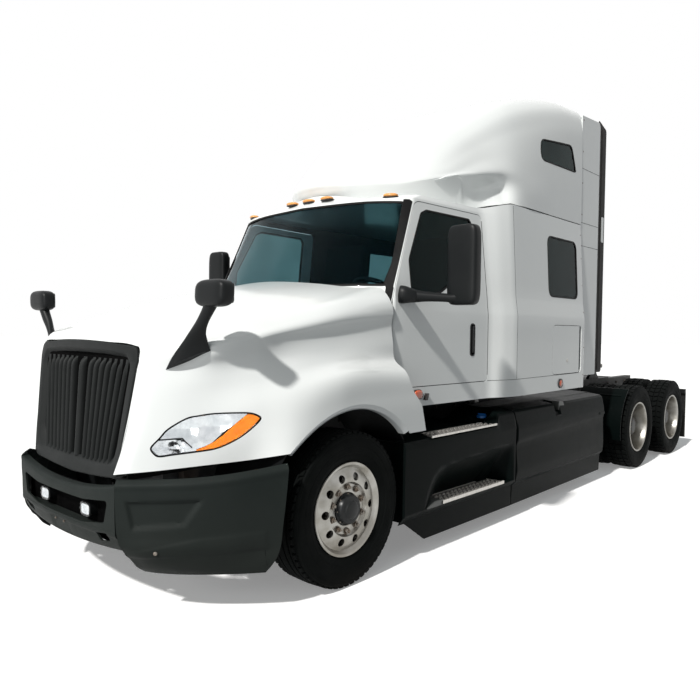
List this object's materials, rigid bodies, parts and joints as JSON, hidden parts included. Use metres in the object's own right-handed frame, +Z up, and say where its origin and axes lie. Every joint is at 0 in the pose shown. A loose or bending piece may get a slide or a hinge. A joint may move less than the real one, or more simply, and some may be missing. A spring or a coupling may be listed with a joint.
{
  "type": "semi truck tractor unit",
  "caption": "Long-nosed highway tractor with a high-roof sleeper, tilting hood, opening doors, steered front axle, driven tandem axles and a tilting fifth wheel.",
  "frame": {"origin": "on the ground under the middle of the truck's length and width", "axes": "+Z up, +Y towards the back of the truck, +X towards its left-hand side"},
  "size_m": [3.09, 8.624, 4.01],
  "materials": {
    "white_paint": "gloss clear-coated white",
    "charcoal_plastic": "grained charcoal moulding",
    "black_plastic": "satin black moulding",
    "frame_black": "satin black chassis paint",
    "engine_grey": "painted casting",
    "tyre_rubber": "black tyre rubber",
    "soft_rubber": "black sheet rubber",
    "wheel_alloy": "polished forged alloy",
    "tank_alloy": "brushed alloy",
    "tread_alloy": "serrated alloy plank",
    "cab_glass": "tinted",
    "lamp_lens": "clear lens",
    "amber_lens": "amber lens",
    "red_lens": "red lens",
    "trim_fabric": "grey woven trim",
    "trim_plastic": "soft-touch interior moulding",
    "greased_iron": "greased cast iron"
  },
  "bodies": {
    "root": {"air_springs": "soft_rubber", "battery_box": "black_plastic", "bumper_center": "charcoal_plastic", "bumper_ends": "charcoal_plastic", "bunk": "trim_fabric", "cab_body": "white_paint", "chassis_frame": "frame_black", "dashboard": "trim_plastic", "deck_plate": "tread_alloy", "drive_axles": "frame_black", "engine": "engine_grey", "exhaust_box": "tank_alloy", "extender_edges": "soft_rubber", "fifth_wheel_base": "frame_black", "fog_lamps": "lamp_lens", "front_axle": "frame_black", "fuel_tanks": "tank_alloy", "marker_lamps": "amber_lens", "mud_flaps": "soft_rubber", "radiator": "tank_alloy", "rear_fenders": "black_plastic", "rear_suspension": "frame_black", "roof_fairing": "white_paint", "seats": "trim_fabric", "side_extenders": "white_paint", "side_fairings": "charcoal_plastic", "sleeper_windows": "cab_glass", "step_treads": "tread_alloy", "tail_lamps": "red_lens", "windshield": "cab_glass"},
    "hood": {"hood": "white_paint", "headlights": "lamp_lens", "grille": "charcoal_plastic", "hood_mirrors": "black_plastic"},
    "door_left": {"door_left": "white_paint", "door_glass_left": "cab_glass", "mirror_left": "black_plastic"},
    "door_right": {"door_right": "white_paint", "door_glass_right": "cab_glass", "mirror_right": "black_plastic"},
    "luggage_door_left": {"luggage_door_left": "white_paint"},
    "luggage_door_right": {"luggage_door_right": "white_paint"},
    "knuckle_left": {"knuckle_left": "frame_black"},
    "knuckle_right": {"knuckle_right": "frame_black"},
    "front_wheel_left": {"front_tyre_left": "tyre_rubber", "front_wheel_left": "wheel_alloy"},
    "front_wheel_right": {"front_tyre_right": "tyre_rubber", "front_wheel_right": "wheel_alloy"},
    "fifth_wheel_plate": {"fifth_wheel_plate": "greased_iron"},
    "steering_wheel": {"steering_wheel": "trim_plastic"},
    "front_drive_wheels_left": {"front_drive_tyres_left": "tyre_rubber", "front_drive_wheels_left": "wheel_alloy"},
    "front_drive_wheels_right": {"front_drive_tyres_right": "tyre_rubber", "front_drive_wheels_right": "wheel_alloy"},
    "back_drive_wheels_left": {"back_drive_tyres_left": "tyre_rubber", "back_drive_wheels_left": "wheel_alloy"},
    "back_drive_wheels_right": {"back_drive_tyres_right": "tyre_rubber", "back_drive_wheels_right": "wheel_alloy"}
  },
  "joints": [
    {"name": "hood_tilt", "type": "hinge", "parent": "root", "child": "hood", "pos_m": [0, -4.291, 0.66], "axis": [1, 0, 0], "range_deg": [0, 60]},
    {"name": "door_left_swing", "type": "hinge", "parent": "root", "child": "door_left", "pos_m": [1.056, -2.386, 1.9], "axis": [0, 0, -1], "range_deg": [0, 70]},
    {"name": "door_right_swing", "type": "hinge", "parent": "root", "child": "door_right", "pos_m": [-1.056, -2.386, 1.9], "axis": [0, 0, 1], "range_deg": [0, 70]},
    {"name": "luggage_door_left_lift", "type": "hinge", "parent": "root", "child": "luggage_door_left", "pos_m": [1.181, 0.209, 1.722], "axis": [0, -1, 0], "range_deg": [0, 90]},
    {"name": "luggage_door_right_lift", "type": "hinge", "parent": "root", "child": "luggage_door_right", "pos_m": [-1.181, 0.209, 1.722], "axis": [0, 1, 0], "range_deg": [0, 90]},
    {"name": "steer_left", "type": "hinge", "parent": "root", "child": "knuckle_left", "pos_m": [0.88, -2.961, 0.505], "axis": [0, 0, 1], "range_deg": [-35, 35]},
    {"name": "steer_right", "type": "hinge", "parent": "root", "child": "knuckle_right", "pos_m": [-0.88, -2.961, 0.505], "axis": [0, 0, 1], "range_deg": [-35, 35]},
    {"name": "front_wheel_left_spin", "type": "hinge", "parent": "knuckle_left", "child": "front_wheel_left", "pos_m": [1.04, -2.961, 0.505], "axis": [1, 0, 0], "continuous": true},
    {"name": "front_wheel_right_spin", "type": "hinge", "parent": "knuckle_right", "child": "front_wheel_right", "pos_m": [-1.04, -2.961, 0.505], "axis": [1, 0, 0], "continuous": true},
    {"name": "front_drive_wheels_left_spin", "type": "hinge", "parent": "root", "child": "front_drive_wheels_left", "pos_m": [0.92, 2.319, 0.505], "axis": [1, 0, 0], "continuous": true},
    {"name": "front_drive_wheels_right_spin", "type": "hinge", "parent": "root", "child": "front_drive_wheels_right", "pos_m": [-0.92, 2.319, 0.505], "axis": [1, 0, 0], "continuous": true},
    {"name": "back_drive_wheels_left_spin", "type": "hinge", "parent": "root", "child": "back_drive_wheels_left", "pos_m": [0.92, 3.639, 0.505], "axis": [1, 0, 0], "continuous": true},
    {"name": "back_drive_wheels_right_spin", "type": "hinge", "parent": "root", "child": "back_drive_wheels_right", "pos_m": [-0.92, 3.639, 0.505], "axis": [1, 0, 0], "continuous": true},
    {"name": "fifth_wheel_tilt", "type": "hinge", "parent": "root", "child": "fifth_wheel_plate", "pos_m": [0, 2.919, 1.115], "axis": [1, 0, 0], "range_deg": [-10, 12]},
    {"name": "steering_wheel_turn", "type": "hinge", "parent": "root", "child": "steering_wheel", "pos_m": [0.5, -1.901, 1.935], "axis": [0, 0.5736, 0.8192], "range_deg": [-576, 576]}
  ],
  "couplings": [
    {"joint": "steer_right", "follows": "steer_left", "ratio": 1},
    {"joint": "steering_wheel_turn", "follows": "steer_left", "ratio": 16}
  ]
}
